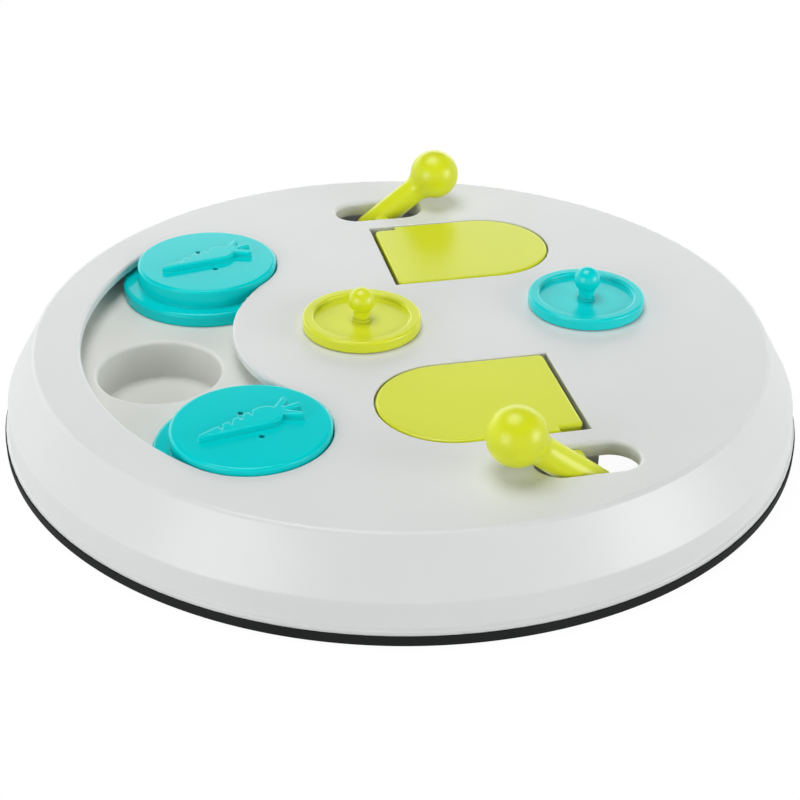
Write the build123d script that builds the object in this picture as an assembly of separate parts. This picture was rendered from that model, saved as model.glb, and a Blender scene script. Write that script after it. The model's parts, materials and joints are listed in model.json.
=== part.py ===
from build123d import *
import os
from math import asin, atan2, cos, degrees, hypot, radians, sin, sqrt, tan

# A round treat puzzle board for a small pet, in millimetres and degrees.
# Origin on the table under the board's centre, +X along the row of lids, -Y to the viewer, +Z up.

# Shell: deck, sloping skirt and lip
deck_height = 26.15
deck_thickness = 2.4
deck_rim = 9.79
deck_edge_round = 1.6
shell_wall = 2.4
skirt_run = 9.9
crease_inset = 1.6
crease_height = 11.7
crease_round = 1.5
lip_inset = 0.4
lip_height = 1.2
lip_step = 0.7
lip_flare = 0.6
lip_round = 0.4
lip_root_round = 0.6

# Rubber ring under the lip
ring_height = 2.95
ring_collar_height = 4.0
ring_collar_width = 2.2
ring_round = 0.5

# Slider track, its three cups and the two sliders
track_center_x = 1.9
track_radius = 72.2
slider_radius = 21.27
slider_window_clearance = 0.27
slider_rise = 5.5
slider_wall = 2.2
slider_edge_round = 0.9
flange_overhang = 4.73
flange_thickness = 3.9
flange_round = 1.2
flange_headroom = 1.5
flange_side_clearance = 0.5
flange_floor_clearance = 0.1
slider_spacing = 1.3
track_window_round = 0.9
cup_radius = 17.6
cup_depth = 11.4
cup_draft = 0.9
cup_lip_round = 1.2
cup_floor_round = 0.5
scent_hole_radius = 0.8
scent_hole_offset = 6.5
scent_hole_angle = 107.0

# Carrot relief that the paw pushes on each slider
carrot_height = 1.8
carrot_angle = 22.0
carrot_length = 23.4
carrot_tip_reach = 14.4
carrot_shoulder_radius = 4.3
carrot_tip_radius = 0.8
carrot_edge_round = 0.6
notch_count = 4
notch_start = 5.6
notch_pitch = 3.3
notch_width = 1.5
notch_depth = 2.4
leaf_length = 7.4
leaf_width = 2.8
leaf_tip_radius = 0.9
leaf_spread = 42.0

# Lids and the cups under them
lid_track_gap = 20.24
lid_pitch = 67.75
lid_row_y = 1.05
lid_radius = 17.1
lid_rim_width = 3.3
lid_rim_height = 3.5
lid_rim_round = 0.7
lid_foot_round = 0.5
lid_floor_height = 2.15
lid_floor_thickness = 1.6
lid_seat_clearance = 0.1
plug_radius = 13.4
plug_depth = 3.6
plug_wall = 1.4
plug_clearance = 0.4
knob_radius = 3.8
knob_height = 6.1
knob_neck_radius = 2.35
knob_neck_round = 1.0
knob_collar_radius = 2.75
knob_collar_height = 0.8
lid_cup_overlap = 0.8
lid_hole_round = 0.4

# Flaps, their windows and the wells under them
flap_length = 53.4
flap_width = 41.55
flap_stagger = 32.3
flap_row_gap = 7.9
flap_clearance = 0.45
flap_thickness = 2.3
flap_edge_round = 0.9
flap_corner_round = 1.8
flap_notch_depth = 2.0
flap_notch_lead = 1.5
flap_window_round = 0.5
ledge_width = 1.4
tray_gap = 4.85
well_depth = 15.75
well_end_relief = 0.6

# Hinge axles and their bearings
axle_radius = 1.6
axle_headroom = 0.15
axle_clearance = 0.08
axle_key_flat = 1.2
axle_end_play = 0.3
hinge_inset = 6.6
swing_clearance = 0.15
barrel_wall = 1.7
bearing_wall = 1.7
bearing_length = 3.95
bearing_floor = 5.4
bearing_end_wall = 0.8

# Levers and their slots
lever_length = 23.5
lever_angle = 37.8
lever_offset = 2.2
ball_radius = 7.9
arm_radius = 4.0
arm_root_radius = 4.3
arm_tail = 4.4
arm_neck_round = 5.0
hub_radius = 2.7
hub_clearance = 0.3
hub_end_wall = 1.0
bridge_width = 6.7
slot_width = 13.55
slot_arm_clearance = 0.65
slot_free_clearance = 2.51
slot_round = 1.3
collar_setback = 0.5
collar_margin = 2.2
collar_thickness = 2.2

# Walls and fixings of the pieces under the deck
tray_wall = 1.8
tray_floor = 1.7
boss_radius = 2.6
boss_height = 6.0
ear_radius = 3.2
ear_thickness = 2.0
ear_offset = 3.0
ear_bite = 0.9
inner_ear_angle = 25.0
screw_radius = 1.3
screw_bite = 5.0
screw_hole_clearance = 0.2
screw_head_radius = 2.5
screw_head_height = 1.6

# Heights that follow from the deck
deck_underside = deck_height - deck_thickness
track_floor = deck_underside - flange_headroom - flange_thickness - flange_floor_clearance
hinge_depth = deck_thickness + axle_headroom + axle_radius
hinge_z = deck_height - hinge_depth
boss_bottom = deck_underside - boss_height
ear_bottom = boss_bottom - ear_thickness

# Slider track plan: flanges of neighbours just miss each other when each is over its cup
flange_radius = slider_radius + flange_overhang
track_window_half = slider_radius + slider_window_clearance
track_pocket_half = flange_radius + flange_side_clearance
track_wall_half = track_pocket_half + tray_wall
slider_pitch = 2 * degrees(asin((flange_radius + slider_spacing / 2) / track_radius))
slider_angles = {"rear": 180 - slider_pitch, "middle": 180.0, "front": 180 + slider_pitch}


def on_track(angle, radius=track_radius):
    """A point in plan at an angle on a circle about the track's centre."""
    turn = radians(angle)
    return track_center_x + radius * cos(turn), radius * sin(turn)


slider_places = {name: on_track(angle) for name, angle in slider_angles.items()}

# Flap plan for the front flap; the rear one is the same turned half round
flap_round_x = slider_places["front"][0] + track_wall_half + tray_gap + tray_wall - ledge_width
flap_straight_x = flap_round_x + flap_length
flap_center_x = flap_straight_x - flap_stagger / 2
flap_inner_y = -(lid_radius + flap_row_gap)
flap_outer_y = flap_inner_y - flap_width
flap_y = (flap_inner_y + flap_outer_y) / 2
hinge_x = flap_straight_x - hinge_inset
hinge_swing = hinge_inset - swing_clearance
flap_tail = flap_edge_round + sqrt(
    (hinge_swing - flap_edge_round) ** 2 - (hinge_depth - flap_edge_round) ** 2
)
well_inner_y = flap_inner_y - ledge_width
well_outer_y = flap_outer_y + ledge_width
half_turn = Pos(2 * flap_center_x, 0, 0) * Rot(0, 0, 180)

# Lever plan: the slot is as long as the leaning arm needs each side of the axle, with more room at
# the end that the arm swings to
slot_inner_y = flap_outer_y - bridge_width
slot_y = slot_inner_y - slot_width / 2
lever_y = slot_y - lever_offset
arm_slant = radians(lever_angle)
arm_reach = hinge_depth / tan(arm_slant) + arm_root_radius / sin(arm_slant)
slot_arm_x = hinge_x - arm_reach - slot_arm_clearance
slot_free_x = hinge_x + arm_reach + slot_free_clearance
hub_inner_y = slot_inner_y - hub_clearance
hub_outer_y = lever_y
axle_inner_y = flap_inner_y + bearing_length
axle_outer_y = hub_outer_y + hub_end_wall

# Board radius: the furthest opening in the deck, then the rim, then the skirt
slot_reach = hypot(slot_free_x - slot_width / 2, slot_y) + slot_width / 2
track_reach = track_radius + track_window_half - track_center_x
deck_edge_radius = max(slot_reach, track_reach) + deck_rim
board_radius = deck_edge_radius + skirt_run
crease_radius = board_radius - crease_inset
lip_radius = board_radius - lip_inset
skirt_inner_radius = crease_radius - shell_wall
lip_top = ring_height + lip_height

# Lids
lid_hole_radius = plug_radius + plug_clearance
lid_cup_radius = lid_hole_radius + lid_cup_overlap
lid_dish_radius = lid_radius - lid_rim_width
lid_left_x = track_center_x - track_radius + track_window_half + lid_track_gap + lid_radius
lid_right_x = lid_left_x + lid_pitch
lid_places = {"left": (lid_left_x, lid_row_y), "right": (lid_right_x, lid_row_y)}

low = (Align.CENTER, Align.CENTER, Align.MIN)
high = (Align.CENTER, Align.CENTER, Align.MAX)


def turned(corners, rounds=()):
    """A solid of revolution about Z from (radius, height) corners, some of them rounded."""
    outline = make_face(Polyline(*corners, close=True))
    for corner, size in rounds:
        outline = fillet(outline.vertices().sort_by_distance(corner)[0], size)
    return revolve(Plane.XZ * outline, Axis.Z)


def prism(outline, bottom, top):
    """A plan outline raised from one height to another."""
    return extrude(Plane.XY.offset(bottom) * outline, top - bottom)


def rod(x, z, start_y, end_y, radius):
    """A round bar along Y."""
    middle = (start_y + end_y) / 2
    return Pos(x, middle, z) * Rot(90, 0, 0) * Cylinder(radius, abs(end_y - start_y))


def block(x_range, y_range, z_range):
    """A box between limits along X, Y and Z."""
    spans = [sorted(limits) for limits in (x_range, y_range, z_range)]
    size = [last - first for first, last in spans]
    center = [(first + last) / 2 for first, last in spans]
    return Pos(*center) * Box(*size)


def track_outline(half_width):
    """The kidney in plan: an arc of the track with round ends."""
    sweep = CenterArc(
        (track_center_x, 0), track_radius, slider_angles["rear"], 2 * slider_pitch
    )
    return SlotArc(sweep, 2 * half_width)


def flap_outline(straight_x, inset):
    """The front flap's plan: straight at the hinge end, a half circle at the other."""
    radius = flap_width / 2 - inset
    center_x = flap_round_x + flap_width / 2
    length = straight_x - center_x
    straight = Pos(center_x + length / 2, flap_y) * Rectangle(length, 2 * radius)
    return straight + Pos(center_x, flap_y) * Circle(radius)


def slot_outline(margin):
    """The front lever slot's plan, wider by a margin all round."""
    length = slot_free_x - slot_arm_x + 2 * margin
    middle_x = (slot_arm_x + slot_free_x) / 2
    return Pos(middle_x, slot_y) * SlotOverall(length, slot_width + 2 * margin)


def slider_tray_fixings():
    """Screw places of the slider tray, each with the way to its wall."""
    reach = track_wall_half + ear_offset
    places = []
    for name, side in (("rear", -90), ("front", 90)):
        x, y = slider_places[name]
        way = slider_angles[name] + side
        places.append((x + reach * cos(radians(way)), y + reach * sin(radians(way)), way + 180))
    for way in (180 - inner_ear_angle, 180 + inner_ear_angle):
        x, y = on_track(way, track_radius - reach)
        places.append((x, y, way))
    return places


def flap_tray_fixings():
    """Screw places of the front flap tray, each with the way to its wall."""
    reach = tray_wall + ear_offset
    middle_x = flap_round_x + flap_width / 2
    end_x = flap_straight_x + well_end_relief
    return [
        (end_x + reach, flap_y, 180),
        (middle_x, well_outer_y - reach, 90),
        (middle_x, well_inner_y + reach, -90),
    ]


def lid_cup_fixings(name):
    """Screw places of one lid cup, each with the way to its wall."""
    x, y = lid_places[name]
    reach = lid_cup_radius + tray_wall + ear_offset
    return [(x - reach, y, 0), (x + reach, y, 180)]


def rear_places(places):
    """The same screw places turned half round to the rear flap."""
    return [(2 * flap_center_x - x, -y, way + 180) for x, y, way in places]


def all_fixings():
    """Every screw place under the deck."""
    flap_places = flap_tray_fixings()
    places = slider_tray_fixings() + flap_places + rear_places(flap_places)
    for name in lid_places:
        places += lid_cup_fixings(name)
    return places


def add_ears(tray, places):
    """Screw ears with holes, webbed to the tray's wall."""
    for x, y, way in places:
        web_size = (ear_offset + ear_bite, 2 * ear_radius, ear_thickness)
        web = Box(*web_size, align=(Align.MIN, Align.CENTER, Align.MIN))
        ear = Cylinder(ear_radius, ear_thickness, align=low) + web
        tray += Pos(x, y, ear_bottom) * Rot(0, 0, way) * ear
    hole = Cylinder(screw_radius + screw_hole_clearance, ear_thickness, align=low)
    for x, y, way in places:
        tray -= Pos(x, y, ear_bottom) * hole
    return tray


def open_deck(shell, outline, edge_round):
    """Cuts an opening through the deck and rounds its upper edge."""
    opened = shell - prism(outline, deck_underside, deck_height)
    edges = new_edges(shell, combined=opened)
    rim = edges.filter_by_position(Axis.Z, deck_height, deck_height)
    return fillet(rim, edge_round)


def top_shell():
    """Deck and skirt in one moulding, with its openings and screw bosses."""
    run = crease_radius - deck_edge_radius
    slope = atan2(deck_height - crease_height, run)
    drop = shell_wall * (1 - sin(slope)) / cos(slope)
    rise = (deck_underside - crease_height) * cos(slope)
    inner_deck_radius = crease_radius - (shell_wall + rise) / sin(slope)
    lip_edge = (lip_radius, lip_top)
    lip_root = (lip_radius - lip_step, lip_top + lip_flare)
    crease = (crease_radius, crease_height)
    deck_edge = (deck_edge_radius, deck_height)
    corners = [
        (0, deck_height),
        deck_edge,
        crease,
        lip_root,
        lip_edge,
        (lip_radius, ring_height),
        (skirt_inner_radius, ring_height),
        (skirt_inner_radius, crease_height - drop),
        (inner_deck_radius, deck_underside),
        (0, deck_underside),
    ]
    rounds = [
        (lip_edge, lip_round),
        (lip_root, lip_root_round),
        (crease, crease_round),
        (deck_edge, deck_edge_round),
    ]
    shell = turned(corners, rounds)
    shell = open_deck(shell, track_outline(track_window_half), track_window_round)
    for place in (Pos(0, 0, 0), half_turn):
        shell = open_deck(shell, place * flap_outline(flap_straight_x, 0), flap_window_round)
        shell = open_deck(shell, place * slot_outline(0), slot_round)
    for x, y in lid_places.values():
        shell = open_deck(shell, Pos(x, y) * Circle(lid_hole_radius), lid_hole_round)
    boss = Cylinder(boss_radius, boss_height, align=low)
    boss -= Cylinder(screw_radius, screw_bite, align=low)
    for x, y, way in all_fixings():
        shell += Pos(x, y, boss_bottom) * boss
    return shell


def grip_ring():
    """Rubber ring that the board stands on, with a collar inside the skirt."""
    inner = skirt_inner_radius - ring_collar_width
    top = ring_height + ring_collar_height
    tread_edge = (board_radius, 0)
    lip_edge = (board_radius, ring_height)
    corners = [
        (inner, 0),
        tread_edge,
        lip_edge,
        (skirt_inner_radius, ring_height),
        (skirt_inner_radius, top),
        (inner, top),
    ]
    return turned(corners, [(tread_edge, ring_round)])


def cup_space():
    """The hollow of a treat cup below the track floor, with a little draft."""
    floor = track_floor - cup_depth
    floor_corner = (cup_radius - cup_draft, floor)
    corners = [(0, floor), floor_corner, (cup_radius, track_floor), (0, track_floor)]
    return turned(corners, [(floor_corner, cup_floor_round)])


def cup_body():
    """The outside of a treat cup."""
    floor = track_floor - cup_depth - tray_floor
    outer = cup_radius + tray_wall
    corners = [
        (0, floor),
        (outer - cup_draft, floor),
        (outer, track_floor),
        (0, track_floor),
    ]
    return turned(corners)


def slider_tray():
    """Track floor, its wall up to the deck and three treat cups."""
    tray = prism(track_outline(track_wall_half), track_floor - tray_floor, deck_underside)
    for x, y in slider_places.values():
        tray += Pos(x, y, 0) * cup_body()
    tray -= prism(track_outline(track_pocket_half), track_floor, deck_underside)
    for x, y in slider_places.values():
        before = tray
        tray = before - Pos(x, y, 0) * cup_space()
        edges = new_edges(before, combined=tray)
        rim = edges.filter_by_position(Axis.Z, track_floor, track_floor)
        tray = fillet(rim, cup_lip_round)
    return add_ears(tray, slider_tray_fixings())


def raised(outline):
    """A convex outline raised as relief, with its upper edge rounded."""
    relief = prism(outline, 0, carrot_height)
    return fillet(relief.faces().sort_by(Axis.Z)[-1].edges(), carrot_edge_round)


def carrot():
    """A plain carrot in relief: tapering root with notches along one side, and three leaves."""
    tip = Pos(-carrot_tip_reach, 0) * Circle(carrot_tip_radius)
    shoulder_x = carrot_length - carrot_tip_reach - carrot_shoulder_radius
    shoulder = Pos(shoulder_x, 0) * Circle(carrot_shoulder_radius)
    root = raised(make_hull(tip.edges() + shoulder.edges()))
    flare = (carrot_shoulder_radius - carrot_tip_radius) / (shoulder_x + carrot_tip_reach)
    notch_corners = [(0, -notch_depth), (0, notch_depth), (2 * notch_width, notch_depth)]
    notch = prism(make_face(Polyline(*notch_corners, close=True)), 0, carrot_height)
    for number in range(notch_count):
        reach = notch_start + number * notch_pitch
        root -= Pos(reach - carrot_tip_reach, carrot_tip_radius + flare * reach, 0) * notch
    top = Pos(shoulder_x + carrot_shoulder_radius - leaf_width / 2, 0, 0)
    leaf_tip = Pos(leaf_length - leaf_tip_radius, 0) * Circle(leaf_tip_radius)
    leaf = raised(make_hull(Circle(leaf_width / 2).edges() + leaf_tip.edges()))
    for way in (-leaf_spread, 0, leaf_spread):
        root += top * Rot(0, 0, way) * leaf
    return Rot(0, 0, carrot_angle) * root


def slider():
    """Hollow round slider: a flange that runs under the deck and a raised disc with a carrot."""
    bottom = track_floor + flange_floor_clearance
    flange_top = bottom + flange_thickness
    top = flange_top + slider_rise
    flange_edge = (flange_radius, flange_top)
    disc_edge = (slider_radius, top)
    hollow = slider_radius - slider_wall
    corners = [
        (0, top),
        disc_edge,
        (slider_radius, flange_top),
        flange_edge,
        (flange_radius, bottom),
        (hollow, bottom),
        (hollow, top - slider_wall),
        (0, top - slider_wall),
    ]
    rounds = [(disc_edge, slider_edge_round), (flange_edge, flange_round)]
    body = turned(corners, rounds)
    body += Pos(0, 0, top) * carrot()
    hole = Cylinder(scent_hole_radius, slider_wall, align=high)
    for way in (scent_hole_angle, scent_hole_angle + 180):
        reach = scent_hole_offset
        body -= Pos(reach * cos(radians(way)), reach * sin(radians(way)), top) * hole
    return body


def ball_stick(foot, foot_radius, neck_radius, center, radius, neck_round):
    """A ball on a tapering stick, turned about Z, with the joint between them rounded."""
    stick_corners = [(0, foot), (foot_radius, foot), (neck_radius, center), (0, center)]
    profile = make_face(Polyline(*stick_corners, close=True))
    half = Pos(radius / 2, center) * Rectangle(radius, 2 * radius)
    profile += half & Pos(0, center) * Circle(radius)
    neck = (neck_radius, center - sqrt(radius**2 - neck_radius**2))
    profile = fillet(profile.vertices().sort_by_distance(neck)[0], neck_round)
    return revolve(Plane.XZ * profile, Axis.Z)


def knob():
    """A lid's knob: a ball on a short neck, with a collar at its foot."""
    neck = ball_stick(
        0, knob_neck_radius, knob_neck_radius, knob_height, knob_radius, knob_neck_round
    )
    return neck + Cylinder(knob_collar_radius, knob_collar_height, align=low)


def lid():
    """Lift-off lid: a rim on the deck, a dish with a knob, and a plug that centres it."""
    foot = lid_seat_clearance
    rim_top = foot + lid_rim_height
    outer_edge = (lid_radius, rim_top)
    inner_edge = (lid_dish_radius, rim_top)
    foot_edge = (lid_radius, foot)
    floor_under = lid_floor_height - lid_floor_thickness
    corners = [
        (0, lid_floor_height),
        (lid_dish_radius, lid_floor_height),
        inner_edge,
        outer_edge,
        foot_edge,
        (plug_radius, foot),
        (plug_radius, -plug_depth),
        (plug_radius - plug_wall, -plug_depth),
        (plug_radius - plug_wall, floor_under),
        (0, floor_under),
    ]
    rounds = [
        (outer_edge, lid_rim_round),
        (inner_edge, lid_rim_round),
        (foot_edge, lid_foot_round),
    ]
    body = turned(corners, rounds)
    body += Pos(0, 0, lid_floor_height) * knob()
    return Pos(0, 0, deck_height) * body


def lid_cup(name):
    """Treat cup under one lid."""
    x, y = lid_places[name]
    floor = deck_underside - well_depth
    floor_corner = (lid_cup_radius, floor)
    cup = turned(
        [
            (0, floor - tray_floor),
            (lid_cup_radius + tray_wall, floor - tray_floor),
            (lid_cup_radius + tray_wall, deck_underside),
            (lid_cup_radius, deck_underside),
            floor_corner,
            (0, floor),
        ],
        [(floor_corner, cup_floor_round)],
    )
    return add_ears(Pos(x, y, 0) * cup, lid_cup_fixings(name))


def axle_bed(start_y, end_y):
    """The running space of the front axle: round below, open up to the deck."""
    reach = axle_radius + axle_clearance
    channel = block(
        (hinge_x - reach, hinge_x + reach), (start_y, end_y), (hinge_z, deck_underside)
    )
    return rod(hinge_x, hinge_z, start_y, end_y, reach) + channel


def flap_tray():
    """Well under the front flap, with the axle's two bearings and the lever slot's collar."""
    floor = deck_underside - well_depth
    end_x = flap_straight_x + well_end_relief
    outer = flap_outline(end_x + tray_wall, ledge_width - tray_wall)
    tray = prism(outer, floor - tray_floor, deck_underside)
    swing = hinge_swing + axle_end_play
    bearing_bottom = hinge_z - swing - bearing_wall
    wide = (hinge_x - swing - bearing_wall, hinge_x + swing + bearing_wall)
    inner_end = axle_inner_y + axle_end_play + bearing_end_wall
    tray += block(wide, (well_inner_y, inner_end), (bearing_bottom, deck_underside))
    outer_end = flap_outer_y - tray_wall
    tray += block(wide, (well_outer_y, outer_end), (bearing_bottom, deck_underside))
    narrow = (hinge_x - axle_radius - bearing_wall, hinge_x + axle_radius + bearing_wall)
    outer_span = (well_outer_y, slot_inner_y)
    tray += block(narrow, outer_span, (hinge_z - bearing_floor, deck_underside))
    collar = slot_outline(collar_margin)
    slot_span = (slot_arm_x, slot_free_x)
    collar_bottom = deck_underside - collar_thickness
    tray += prism(collar, collar_bottom, deck_underside)
    tray += block(slot_span, (well_outer_y, slot_y), (collar_bottom, deck_underside))
    tray -= prism(flap_outline(end_x, ledge_width), floor, deck_underside)
    tray -= prism(slot_outline(collar_setback), collar_bottom, deck_underside)
    tray -= rod(hinge_x, hinge_z, flap_outer_y, flap_inner_y, swing)
    tray -= axle_bed(slot_inner_y, axle_inner_y + axle_end_play)
    return add_ears(tray, flap_tray_fixings())


def axle_key(start_y, end_y):
    """The keyed stretch of the front axle: a round bar with a flat on top."""
    bar = rod(hinge_x, hinge_z, start_y, end_y, axle_radius)
    sides = (hinge_x - axle_radius, hinge_x + axle_radius)
    cap = block(sides, (start_y, end_y), (hinge_z + axle_key_flat, hinge_z + axle_radius))
    return bar - cap


barrel_inner_y = flap_inner_y - flap_clearance
barrel_outer_y = flap_outer_y + flap_notch_depth + flap_clearance


def hinge_axle():
    """Front axle: round in its bearings, flatted where the flap and the lever grip it."""
    axle = axle_key(hub_inner_y, axle_outer_y)
    axle += rod(hinge_x, hinge_z, barrel_outer_y, hub_inner_y, axle_radius)
    axle += axle_key(barrel_inner_y, barrel_outer_y)
    axle += rod(hinge_x, hinge_z, axle_inner_y, barrel_inner_y, axle_radius)
    return axle


def flap():
    """Front flap: a plate flush with the deck on a barrel that grips the axle."""
    bottom = deck_height - flap_thickness
    outline = flap_outline(hinge_x + flap_tail, flap_clearance)
    notch_start = hinge_x - flap_notch_lead
    notch_length = flap_notch_lead + flap_tail
    notch = Rectangle(notch_length, 2 * (flap_notch_depth + flap_clearance))
    outline -= Pos(notch_start + notch_length / 2, flap_outer_y) * notch
    outline = fillet(outline.vertices().group_by(Axis.X)[-1], flap_corner_round)
    plate = prism(outline, bottom, deck_height)
    plate = fillet(plate.faces().sort_by(Axis.Z)[-1].edges(), flap_edge_round)
    barrel = rod(hinge_x, hinge_z, barrel_inner_y, barrel_outer_y, axle_radius + barrel_wall)
    return plate + barrel - axle_key(barrel_inner_y, barrel_outer_y)


def lever():
    """Front lever: ball, leaning arm with a short tail, and a hub that grips the axle."""
    arm = ball_stick(
        -arm_tail, arm_root_radius, arm_radius, lever_length, ball_radius, arm_neck_round
    )
    arm += Pos(0, 0, -arm_tail) * Sphere(arm_root_radius)
    stick = Pos(hinge_x, lever_y, hinge_z) * Rot(0, lever_angle - 90, 0) * arm
    stick += rod(hinge_x, hinge_z, hub_inner_y, hub_outer_y, hub_radius)
    return stick - axle_key(hub_inner_y, axle_outer_y)


def tray_screws():
    """Pan-head screws that hold the trays and cups to the deck's bosses."""
    head = Cylinder(screw_head_radius, screw_head_height, align=high)
    shank = Cylinder(screw_radius, ear_thickness + screw_bite, align=low)
    screw = head + shank
    return Compound([Pos(x, y, ear_bottom) * screw for x, y, way in all_fixings()])


def all_parts():
    """Every piece of the board by name."""
    parts = {
        "top_shell": top_shell(),
        "grip_ring": grip_ring(),
        "slider_tray": slider_tray(),
        "tray_screws": tray_screws(),
    }
    for name in ("front", "rear"):
        x, y = slider_places[name]
        parts["slider_" + name] = Pos(x, y, 0) * slider()
    for name, (x, y) in lid_places.items():
        parts["lid_" + name] = Pos(x, y, 0) * lid()
        parts["lid_cup_" + name] = lid_cup(name)
    front = {"flap_tray": flap_tray, "flap": flap, "lever": lever, "hinge_axle": hinge_axle}
    for name, make in front.items():
        piece = make()
        parts[name + "_front"] = piece
        parts[name + "_rear"] = half_turn * piece
    return parts


os.makedirs("parts", exist_ok=True)
for name, piece in all_parts().items():
    export_step(piece, "parts/" + name + ".step")
print("board radius", round(board_radius, 2), "slider pitch", round(slider_pitch, 2))
print("track centre", track_center_x, "hinge front", round(hinge_x, 2), round(hinge_z, 2))
print("flap centre", round(flap_center_x, 2), "flap y", round(flap_y, 2), "slot y", round(slot_y, 2))
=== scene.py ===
"""Looks of the pet puzzle board: plastics, rubber, steel, a white floor, soft lamps and a camera."""

import json
from math import cos, radians, sin

import bmesh
import bpy
from mathutils import Matrix, Vector


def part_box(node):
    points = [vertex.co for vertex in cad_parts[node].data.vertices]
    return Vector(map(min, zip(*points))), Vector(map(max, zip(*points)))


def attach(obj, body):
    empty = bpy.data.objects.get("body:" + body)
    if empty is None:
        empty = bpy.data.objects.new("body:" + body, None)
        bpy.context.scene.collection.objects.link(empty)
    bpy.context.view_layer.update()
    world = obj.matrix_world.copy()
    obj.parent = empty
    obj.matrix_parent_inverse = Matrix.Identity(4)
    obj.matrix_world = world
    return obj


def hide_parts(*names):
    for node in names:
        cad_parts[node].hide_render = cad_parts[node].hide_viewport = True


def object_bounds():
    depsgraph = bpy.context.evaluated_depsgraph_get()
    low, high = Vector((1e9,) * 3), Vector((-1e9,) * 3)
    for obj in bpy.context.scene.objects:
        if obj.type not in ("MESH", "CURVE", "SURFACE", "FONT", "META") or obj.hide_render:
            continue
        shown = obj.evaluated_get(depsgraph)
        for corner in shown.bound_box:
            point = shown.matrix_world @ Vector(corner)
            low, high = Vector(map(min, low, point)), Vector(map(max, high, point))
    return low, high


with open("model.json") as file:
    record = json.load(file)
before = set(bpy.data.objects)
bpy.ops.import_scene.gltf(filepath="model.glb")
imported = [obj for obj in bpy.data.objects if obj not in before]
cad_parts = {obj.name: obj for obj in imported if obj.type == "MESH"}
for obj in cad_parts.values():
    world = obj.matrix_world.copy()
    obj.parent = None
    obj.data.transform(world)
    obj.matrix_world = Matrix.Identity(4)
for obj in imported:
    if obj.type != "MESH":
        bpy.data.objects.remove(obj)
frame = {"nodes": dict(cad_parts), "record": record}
cad_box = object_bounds()
nodes = frame["nodes"]
MM = 0.001

# Colours in linear light
SHELL_GREY = (0.675, 0.69, 0.685)
TRAY_GREY = (0.765, 0.772, 0.735)
LIME = (0.64, 0.70, 0.012)
TURQUOISE = (0.0, 0.61, 0.62)
RUBBER_BLACK = (0.008, 0.0092, 0.0088)
ZINC = (0.56, 0.57, 0.6)

# Surfaces: most of a noise lies between these two values
NOISE_LOW = 0.3
NOISE_HIGH = 0.7

# Plastics and rubber: sizes of the flow clouds and of the patches of gloss, and how much they vary
CLOUD_SIZE = 30 * MM
CLOUD_SPREAD = 0.012
GLOSS_SIZE = 12 * MM
GLOSS_SPREAD = 0.04

# Plated steel: sizes of the worn spots and of the grain, and how much tone and gloss vary
WEAR_SIZE = 0.8 * MM
WEAR_TONE_SPREAD = 0.06
WEAR_GLOSS_SPREAD = 0.15
PLATING_GRAIN = 0.2 * MM
PLATING_DEPTH = 0.004 * MM

# Edges: a sharper turn than this keeps a hard shade, and so many rays find the shade of a rounded edge
SHARP_TURN = radians(40)
EDGE_SAMPLES = 8

# Ring: points round it, steps of its rounded edge, and how near a point has to be to lie on a face
RING_POINTS = 360
RING_ROUND_STEPS = 8
ON_FACE = 0.002 * MM

# Plain screws: reach across one of them, share of the head where its rim starts, and end of the tip
SCREW_REACH = 6 * MM
RIM_SHARE = 0.9
TIP_END = 0.1 * MM

# Finer screws: points round each ring, and angle of the first, at the edge of the cross's first arm
SCREW_POINTS = 48
FIRST_ANGLE = -15

# Thread, with the share of its radius that is left at the tip
THREAD_PITCH = 1.0 * MM
THREAD_DEPTH = 0.3 * MM
RINGS_PER_TURN = 6
TIP_SHARE = 0.5

# Screw head: steps of its dome, and shares of its height
DOME_STEPS = 6
DOME_SHARE = 0.6
RECESS_SHARE = 0.65

# Screw head: shares of its radius, for the cross its reach and half width
FACE_SHARE = 0.55
RECESS_FLOOR = (0.4, 0.09)
RECESS_MOUTH = (0.5, 0.13)

# Floor, backdrop and lamps: the backdrop starts and is full where a direction points this much to the back
FLOOR_SIZE = 40.0
FLOOR_ALBEDO = 0.68
FLOOR_GLOW = 1.03
FLOOR_GLOW_SHARE = 0.93
BACKDROP_START = 0.55
BACKDROP_FULL = 0.8
LAMP_DISTANCE = 1.2

# Camera of the photograph: angles in degrees, azimuth from the front towards the right
SENSOR_MM = 36.0
LENS_MM = 74.41
CAMERA_AZIMUTH = -12.601
CAMERA_ELEVATION = 30.645
CAMERA_ROLL = 0.519
CAMERA_TARGET = Vector((-5.493, -24.071, 15.0)) * MM
CAMERA_DISTANCE = 464.3 * MM
NEAREST_SEEN = 10 * MM


# Materials


def new_material(name):
    """A material with its node tree and its one Principled shader."""
    material = bpy.data.materials.new(name)
    material.use_nodes = True
    tree = material.node_tree
    return material, tree, tree.nodes["Principled BSDF"]


def noise(tree, size, detail=2.0):
    """Noise in the piece's own coordinates, with features of about that size in metres."""
    place = tree.nodes.new("ShaderNodeTexCoord")
    texture = tree.nodes.new("ShaderNodeTexNoise")
    texture.inputs["Scale"].default_value = 1 / size
    texture.inputs["Detail"].default_value = detail
    tree.links.new(place.outputs["Object"], texture.inputs["Vector"])
    return texture.outputs["Fac"]


def map_range(tree, value, start, end, first, last, interpolation="LINEAR"):
    """A value that goes from first to last as another goes from start to end."""
    node = tree.nodes.new("ShaderNodeMapRange")
    node.interpolation_type = interpolation
    for socket, number in zip(node.inputs[1:5], (start, end, first, last)):
        socket.default_value = number
    tree.links.new(value, node.inputs["Value"])
    return node.outputs["Result"]


def uneven(tree, value, middle, spread):
    """A number that follows a noise, by a share to each side of the middle."""
    return map_range(tree, value, NOISE_LOW, NOISE_HIGH, middle * (1 - spread), middle * (1 + spread))


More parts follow.
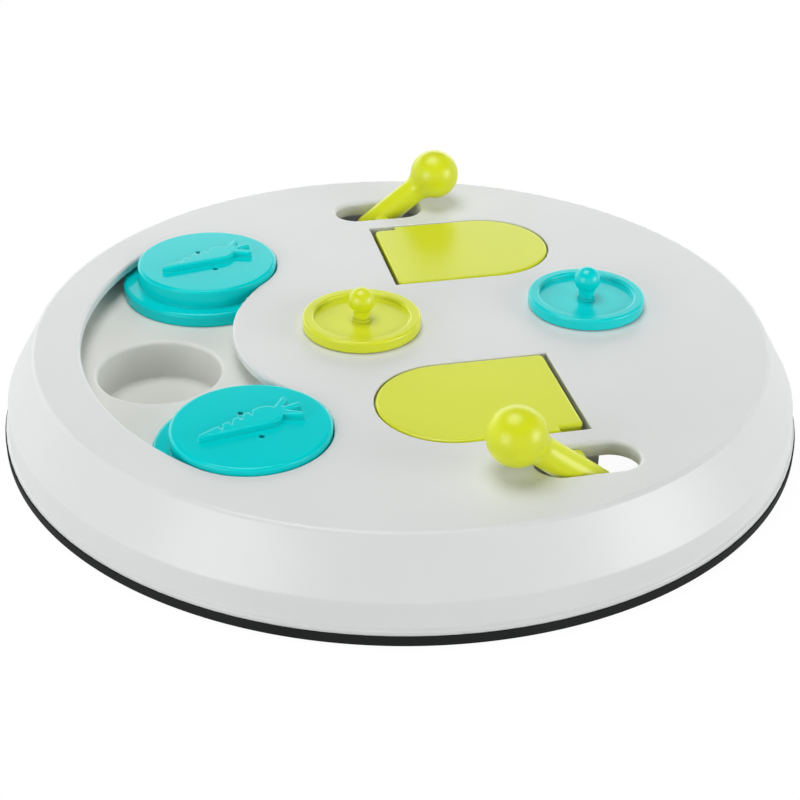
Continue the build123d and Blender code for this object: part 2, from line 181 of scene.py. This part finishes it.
def tones(tree, value, color, spread):
    """A colour that follows a noise from darker to lighter, by a share to each side."""
    ramp = tree.nodes.new("ShaderNodeValToRGB")
    stops = ((NOISE_LOW, 1 - spread), (NOISE_HIGH, 1 + spread))
    for element, (position, factor) in zip(ramp.color_ramp.elements, stops):
        element.position = position
        element.color = (*(min(1.0, channel * factor) for channel in color), 1)
    tree.links.new(value, ramp.inputs["Fac"])
    return ramp.outputs["Color"]


def bump(tree, shader, height, depth, edge_round=0.0):
    """Fine relief of that depth, over edges that shade as if rounded by that radius, in metres."""
    node = tree.nodes.new("ShaderNodeBump")
    node.inputs["Distance"].default_value = depth
    tree.links.new(height, node.inputs["Height"])
    if edge_round:
        edge = tree.nodes.new("ShaderNodeBevel")
        edge.samples = EDGE_SAMPLES
        edge.inputs["Radius"].default_value = edge_round
        tree.links.new(edge.outputs["Normal"], node.inputs["Normal"])
    tree.links.new(node.outputs["Normal"], shader.inputs["Normal"])


def moulded(name, color, rough, specular, grain, cloud=CLOUD_SPREAD, edge_round=0.0):
    """A moulded surface: faint flow clouds, slightly uneven gloss and a mould grain of a size and depth."""
    material, tree, shader = new_material(name)
    shader.inputs["Specular IOR Level"].default_value = specular
    clouds = noise(tree, CLOUD_SIZE, detail=3.0)
    tree.links.new(tones(tree, clouds, color, cloud), shader.inputs["Base Color"])
    gloss = noise(tree, GLOSS_SIZE)
    tree.links.new(uneven(tree, gloss, rough, GLOSS_SPREAD), shader.inputs["Roughness"])
    grain_size, grain_depth = grain
    bump(tree, shader, noise(tree, grain_size), grain_depth, edge_round)
    return material


def metal(name, color, rough):
    """Plated steel with fine uneven gloss."""
    material, tree, shader = new_material(name)
    shader.inputs["Metallic"].default_value = 1.0
    wear = noise(tree, WEAR_SIZE, detail=4.0)
    tree.links.new(tones(tree, wear, color, WEAR_TONE_SPREAD), shader.inputs["Base Color"])
    tree.links.new(uneven(tree, wear, rough, WEAR_GLOSS_SPREAD), shader.inputs["Roughness"])
    bump(tree, shader, noise(tree, PLATING_GRAIN), PLATING_DEPTH)
    return material


slot_finishes = {
    "shell_grey": moulded(
        "shell_grey", SHELL_GREY, rough=0.37, specular=0.5,
        grain=(0.6 * MM, 0.012 * MM),
    ),
    "tray_grey": moulded(
        "tray_grey", TRAY_GREY, rough=0.5, specular=0.4,
        grain=(0.6 * MM, 0.012 * MM),
    ),
    "turquoise": moulded(
        "turquoise", TURQUOISE, rough=0.15, specular=0.18,
        grain=(0.7 * MM, 0.002 * MM), edge_round=0.6 * MM,
    ),
    "lime": moulded(
        "lime", LIME, rough=0.31, specular=0.45,
        grain=(0.7 * MM, 0.002 * MM), edge_round=0.4 * MM,
    ),
    "grip_black": moulded(
        "grip_black", RUBBER_BLACK, rough=0.8, specular=0.2,
        grain=(0.6 * MM, 0.05 * MM), cloud=0.25,
    ),
    "screw_steel": metal("screw_steel", ZINC, rough=0.34),
}
satin_lime = moulded(
    "satin_lime", LIME, rough=0.32, specular=0.6,
    grain=(0.6 * MM, 0.004 * MM), edge_round=0.4 * MM,
)
satin_turquoise = moulded(
    "satin_turquoise", TURQUOISE, rough=0.22, specular=0.34,
    grain=(0.6 * MM, 0.003 * MM), edge_round=0.4 * MM,
)
node_finishes = {
    "flap_front": satin_lime,
    "flap_rear": satin_lime,
    "lid_left": satin_lime,
    "lid_right": satin_turquoise,
}
for entry in frame["record"]["subparts"]:
    node = entry["node"]
    piece = nodes[node]
    piece.data.materials.clear()
    piece.data.materials.append(node_finishes.get(node, slot_finishes[entry["material_slot"]]))


# Pieces with finer meshes than their plain solids


def add_piece(name, shape, stands_for, slot):
    """A piece of the base made of a shape, in the place of a plain solid and with a slot's finish."""
    bmesh.ops.recalc_face_normals(shape, faces=shape.faces)
    mesh = bpy.data.meshes.new(name)
    shape.to_mesh(mesh)
    shape.free()
    mesh.shade_smooth()
    mesh.set_sharp_from_angle(angle=SHARP_TURN)
    mesh.materials.append(slot_finishes[slot])
    piece = bpy.data.objects.new(name, mesh)
    bpy.context.scene.collection.objects.link(piece)
    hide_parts(stands_for)
    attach(piece, "base")


def circle(radius, count, first=0.0):
    """That many points round a circle, from a first angle in degrees."""
    angles = [radians(360 * i / count + first) for i in range(count)]
    return [Vector((radius * cos(angle), radius * sin(angle))) for angle in angles]


def bridge(shape, ring, following):
    """Faces between two closed rings with as many points."""
    for i, point in enumerate(ring):
        j = (i + 1) % len(ring)
        shape.faces.new((point, ring[j], following[j], following[i]))


# Ring that the board stands on


def ring_section():
    """Radius and height of the points round the ring's section, from the faces of its plain solid."""
    points = [(vertex.co.xy.length, vertex.co.z) for vertex in nodes["grip_ring"].data.vertices]
    inner = min(radius for radius, height in points)
    outer = min(abs(reach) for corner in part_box("grip_ring") for reach in corner.xy)
    bottom = min(height for radius, height in points)
    top = max(height for radius, height in points)
    collar = max(radius for radius, height in points if height > top - ON_FACE)
    tread_top = max(height for radius, height in points if radius > outer - ON_FACE)
    edge = outer - max(radius for radius, height in points if height < bottom + ON_FACE)
    section = [(inner, top), (inner, bottom)]
    for step in range(RING_ROUND_STEPS + 1):
        turn = radians(90 * step / RING_ROUND_STEPS)
        section.append((outer - edge * (1 - sin(turn)), bottom + edge * (1 - cos(turn))))
    return section + [(outer, tread_top), (collar, tread_top), (collar, top)]


def make_ring():
    """The ring turned about the board's axis."""
    shape = bmesh.new()
    rings = []
    for radius, height in ring_section():
        rings.append([shape.verts.new((*point, height)) for point in circle(radius, RING_POINTS)])
    for ring, following in zip(rings, rings[1:] + rings[:1]):
        bridge(shape, ring, following)
    add_piece("turned_ring", shape, "grip_ring", "grip_black")


# Screws with a crossed recess and a thread


def screw_shapes():
    """Each screw's axis, head bottom, head seat, tip and radii, from the corners of its plain solid."""
    groups = []
    for vertex in nodes["tray_screws"].data.vertices:
        near = [group for group in groups if (vertex.co.xy - group[0].xy).length < SCREW_REACH]
        if near:
            near[0].append(vertex.co)
        else:
            groups.append([vertex.co])
    for group in groups:
        low = Vector(min(point[i] for point in group) for i in range(3))
        high = Vector(max(point[i] for point in group) for i in range(3))
        axis = (low.xy + high.xy) / 2
        head_radius = (high.x - low.x) / 2
        seat = max(point.z for point in group if (point.xy - axis).length > RIM_SHARE * head_radius)
        shank_radius = max((point.xy - axis).length for point in group if point.z > high.z - TIP_END)
        yield axis, low.z, seat, high.z, head_radius, shank_radius


def screw_circle(radius):
    """Points round a circle, as many as round the cross."""
    return circle(radius, SCREW_POINTS, FIRST_ANGLE)


def cross(reach, half_width):
    """Points round a cross with four arms."""
    arm = [Vector((reach, -half_width)), Vector((reach, half_width)), Vector((half_width, half_width))]
    corners = [Matrix.Rotation(radians(90 * i), 2) @ corner for i in range(4) for corner in arm]
    steps = SCREW_POINTS // len(corners)
    points = []
    for corner, following in zip(corners, corners[1:] + corners[:1]):
        points += [corner.lerp(following, step / steps) for step in range(steps)]
    return points


def screw_rings(bottom, seat, tip, head_radius, shank_radius):
    """Rings of points from the bottom of the recess, over the domed head, along the thread to the tip."""
    head = seat - bottom
    face = FACE_SHARE * head_radius
    yield cross(*(share * head_radius for share in RECESS_FLOOR)), bottom + RECESS_SHARE * head
    yield cross(*(share * head_radius for share in RECESS_MOUTH)), bottom
    for step in range(DOME_STEPS + 1):
        turn = radians(90 * step / DOME_STEPS)
        rise = DOME_SHARE * head * (1 - cos(turn))
        yield screw_circle(face + (head_radius - face) * sin(turn)), bottom + rise
    yield screw_circle(head_radius), seat
    length = tip - seat
    rings = int(length / THREAD_PITCH * RINGS_PER_TURN)
    crest = screw_circle(shank_radius)
    for step in range(rings + 1):
        height = step / rings * length
        taper = min(1.0, TIP_SHARE + (1 - TIP_SHARE) * (length - height) / THREAD_PITCH)
        points = []
        for i, point in enumerate(crest):
            turn = (height / THREAD_PITCH - i / SCREW_POINTS) % 1
            points.append(point * taper * (1 - THREAD_DEPTH / shank_radius * abs(2 * turn - 1)))
        yield points, seat + height


def make_screws():
    """One mesh with all the screws, heads down."""
    shape = bmesh.new()
    for axis, bottom, seat, tip, head_radius, shank_radius in screw_shapes():
        rings = []
        for points, height in screw_rings(bottom, seat, tip, head_radius, shank_radius):
            rings.append([shape.verts.new((*(axis + point), height)) for point in points])
        shape.faces.new(reversed(rings[0]))
        shape.faces.new(rings[-1])
        for ring, following in zip(rings, rings[1:]):
            bridge(shape, ring, following)
    add_piece("cross_screws", shape, "tray_screws", "screw_steel")


make_ring()
make_screws()


# Floor, world and lamps


def seen_directly(tree):
    """1 where the ray comes from the camera, a mirror or glass, and 0 in diffuse light."""
    path = tree.nodes.new("ShaderNodeLightPath")
    total = path.outputs["Is Camera Ray"]
    for name in ("Is Glossy Ray", "Is Transmission Ray"):
        more = tree.nodes.new("ShaderNodeMath")
        more.operation = "MAXIMUM"
        tree.links.new(total, more.inputs[0])
        tree.links.new(path.outputs[name], more.inputs[1])
        total = more.outputs[0]
    return total


def white_floor():
    """White floor that keeps a soft shadow."""
    bpy.ops.mesh.primitive_plane_add(size=FLOOR_SIZE, location=(0, 0, cad_box[0].z))
    floor = bpy.context.object
    floor.name = "floor"
    material, tree, shader = new_material("floor")
    shader.inputs["Base Color"].default_value = (FLOOR_ALBEDO, FLOOR_ALBEDO, FLOOR_ALBEDO, 1)
    shader.inputs["Roughness"].default_value = 1.0
    shader.inputs["Specular IOR Level"].default_value = 0.0
    glow = tree.nodes.new("ShaderNodeEmission")
    glow.inputs["Strength"].default_value = FLOOR_GLOW
    share = tree.nodes.new("ShaderNodeMath")
    share.operation = "MULTIPLY"
    share.inputs[1].default_value = FLOOR_GLOW_SHARE
    tree.links.new(seen_directly(tree), share.inputs[0])
    mix = tree.nodes.new("ShaderNodeMixShader")
    tree.links.new(share.outputs[0], mix.inputs["Fac"])
    tree.links.new(shader.outputs["BSDF"], mix.inputs[1])
    tree.links.new(glow.outputs["Emission"], mix.inputs[2])
    tree.links.new(mix.outputs["Shader"], tree.nodes["Material Output"].inputs["Surface"])
    floor.data.materials.append(material)


def studio_world(wall_top, ceiling_start, backdrop, sides, ceiling):
    """A bright backdrop behind the board, dimmer walls at its sides, a dark ceiling; angles in degrees."""
    world = bpy.data.worlds.new("studio")
    bpy.context.scene.world = world
    world.use_nodes = True
    tree = world.node_tree
    background = tree.nodes["Background"]
    background.inputs["Color"].default_value = (1, 1, 1, 1)
    place = tree.nodes.new("ShaderNodeTexCoord")
    way = tree.nodes.new("ShaderNodeSeparateXYZ")
    tree.links.new(place.outputs["Generated"], way.inputs["Vector"])
    top, start = (sin(radians(angle)) for angle in (wall_top, ceiling_start))
    low = map_range(tree, way.outputs["Z"], top, start, 1, 0, "SMOOTHSTEP")
    wall = map_range(
        tree, way.outputs["Y"], BACKDROP_START, BACKDROP_FULL, sides, backdrop, "SMOOTHSTEP"
    )
    room = tree.nodes.new("ShaderNodeMath")
    room.operation = "MULTIPLY_ADD"
    tree.links.new(low, room.inputs[0])
    tree.links.new(wall, room.inputs[1])
    room.inputs[2].default_value = ceiling
    tree.links.new(room.outputs[0], background.inputs["Strength"])


def softbox(name, toward, size, power):
    """A square lamp in a direction from the board, facing it."""
    lamp = bpy.data.lights.new(name, "AREA")
    lamp.size = size
    lamp.energy = power
    holder = bpy.data.objects.new(name, lamp)
    way = Vector(toward).normalized()
    holder.location = way * LAMP_DISTANCE
    holder.rotation_mode = "QUATERNION"
    holder.rotation_quaternion = way.to_track_quat("Z", "Y")
    bpy.context.scene.collection.objects.link(holder)


white_floor()
studio_world(wall_top=24, ceiling_start=31, backdrop=2.1, sides=0.8, ceiling=0.03)
softbox("top_softbox", toward=(-0.12, 0.13, 1.0), size=0.8, power=9.2)
softbox("left_softbox", toward=(-0.81, -0.54, 0.22), size=0.65, power=5.6)
softbox("right_softbox", toward=(0.83, -0.55, 0.2), size=0.65, power=7.0)


# Camera


def camera():
    """The photograph's viewpoint."""
    lens = bpy.data.cameras.new("camera")
    lens.sensor_width = SENSOR_MM
    lens.lens = LENS_MM
    lens.clip_start = NEAREST_SEEN
    holder = bpy.data.objects.new("camera", lens)
    bpy.context.scene.collection.objects.link(holder)
    azimuth = radians(CAMERA_AZIMUTH)
    elevation = radians(CAMERA_ELEVATION)
    back = Vector((sin(azimuth) * cos(elevation), -cos(azimuth) * cos(elevation), sin(elevation)))
    level = Vector((cos(azimuth), sin(azimuth), 0))
    right = Matrix.Rotation(radians(CAMERA_ROLL), 3, back) @ level
    turn = Matrix((right, back.cross(right), back)).transposed()
    place = Matrix.Translation(CAMERA_TARGET + back * CAMERA_DISTANCE)
    holder.matrix_world = place @ turn.to_4x4()
    bpy.context.scene.camera = holder


camera()
bpy.context.scene.view_settings.view_transform = "Standard"
